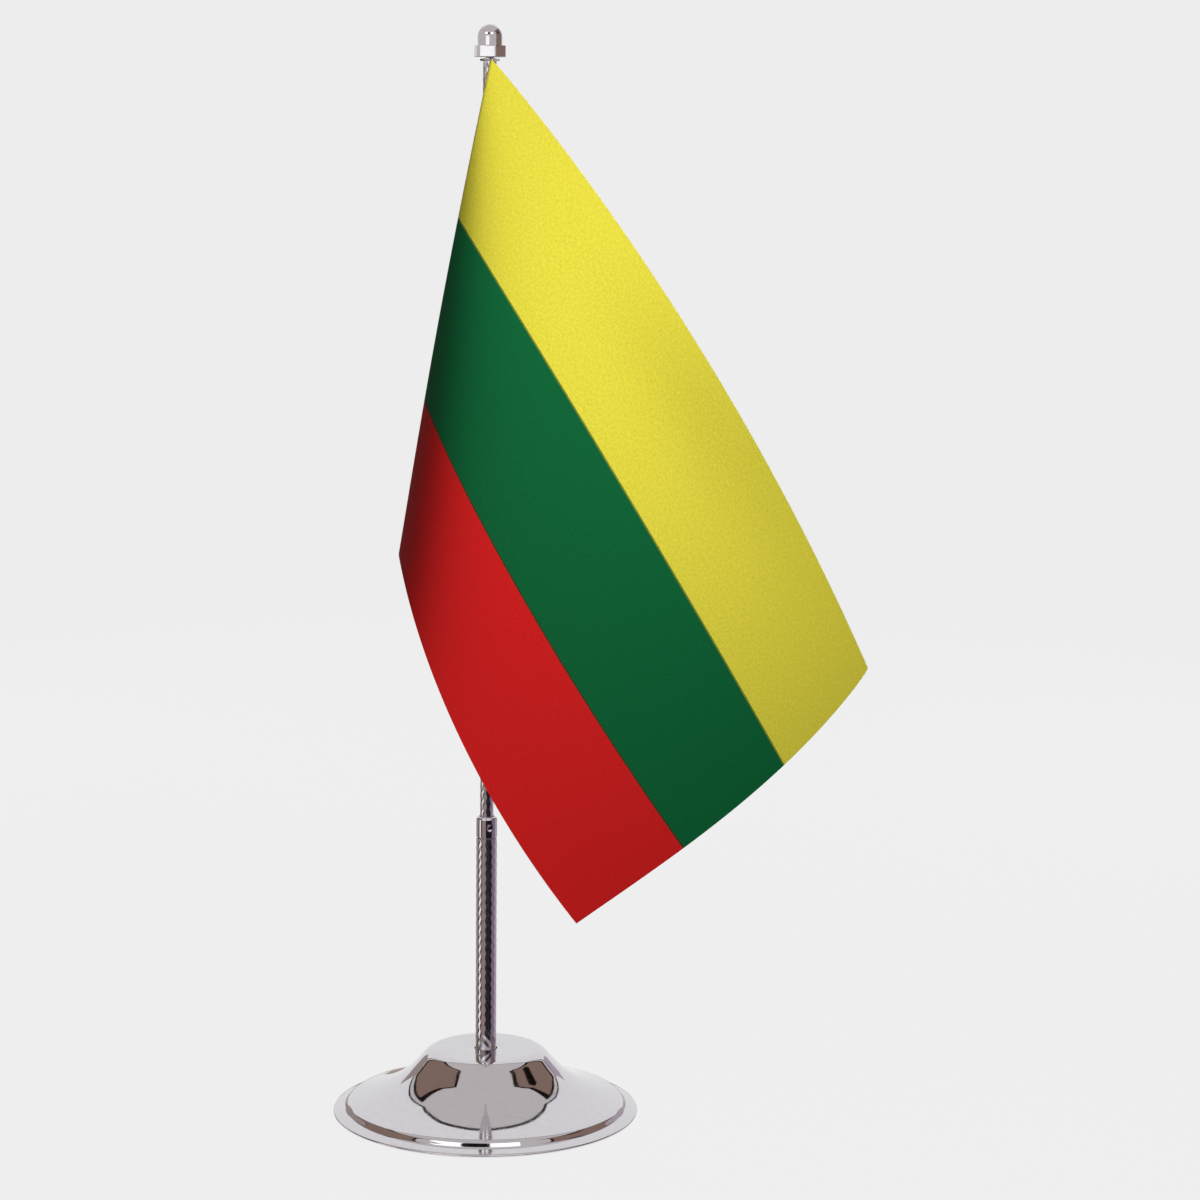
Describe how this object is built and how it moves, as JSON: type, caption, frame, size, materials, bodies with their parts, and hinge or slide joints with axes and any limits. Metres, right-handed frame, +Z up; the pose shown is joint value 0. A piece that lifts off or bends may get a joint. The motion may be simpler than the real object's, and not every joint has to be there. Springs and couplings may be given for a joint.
{
  "type": "desk flag stand",
  "caption": "Chromed desk flag stand: weighted bell base, telescopic fluted pole with domed cap nut, and a striped table flag hanging from a cord loop.",
  "frame": {"origin": "centre of the felt's underside, where the stand rests on the desk", "axes": "+Z up along the pole; the flag hangs on the -Y side and its free edge points to +X"},
  "size_m": [0.2082, 0.119, 0.42],
  "materials": {
    "bell_chrome": "bright chrome plate on pressed steel",
    "weight_iron": "bare sand casting",
    "pad_felt": "dark green felt",
    "fastener_zinc": "bright zinc plate",
    "pole_chrome": "bright chrome plate, helically fluted tube",
    "collar_chrome": "bright chrome plate, smooth",
    "shoe_brass": "bare drawn brass",
    "loop_cord": "thin twisted polyester cord",
    "flag_fabric": "fine woven polyester, printed in yellow, green and red stripes"
  },
  "bodies": {
    "base": {"base_shell": "bell_chrome", "base_weight": "weight_iron", "base_pad": "pad_felt", "base_screw": "fastener_zinc", "screw_washer": "fastener_zinc", "lock_washer": "fastener_zinc", "foot_plug": "fastener_zinc", "lower_tube": "pole_chrome", "collar": "collar_chrome"},
    "slide_shoe": {"slide_shoe": "shoe_brass"},
    "upper_pole": {"upper_tube": "pole_chrome", "end_ring": "shoe_brass", "finial_stud": "fastener_zinc"},
    "finial": {"finial": "collar_chrome"},
    "flag": {"hanging_loop": "loop_cord", "flag_cloth": "flag_fabric"}
  },
  "joints": [
    {"name": "pole_slide", "type": "slide", "parent": "base", "child": "slide_shoe", "axis": [0, 0, 1], "range_m": [-0.05, 0]},
    {"name": "pole_twist", "type": "hinge", "parent": "slide_shoe", "child": "upper_pole", "pos_m": [0, 0, 0.1], "axis": [0, 0, 1], "continuous": true},
    {"name": "finial_turn", "type": "hinge", "parent": "upper_pole", "child": "finial", "pos_m": [0, 0, 0.41], "axis": [0, 0, 1], "continuous": true},
    {"name": "flag_swivel", "type": "hinge", "parent": "upper_pole", "child": "flag", "pos_m": [0, 0, 0.4068], "axis": [0, 0, 1], "continuous": true}
  ]
}
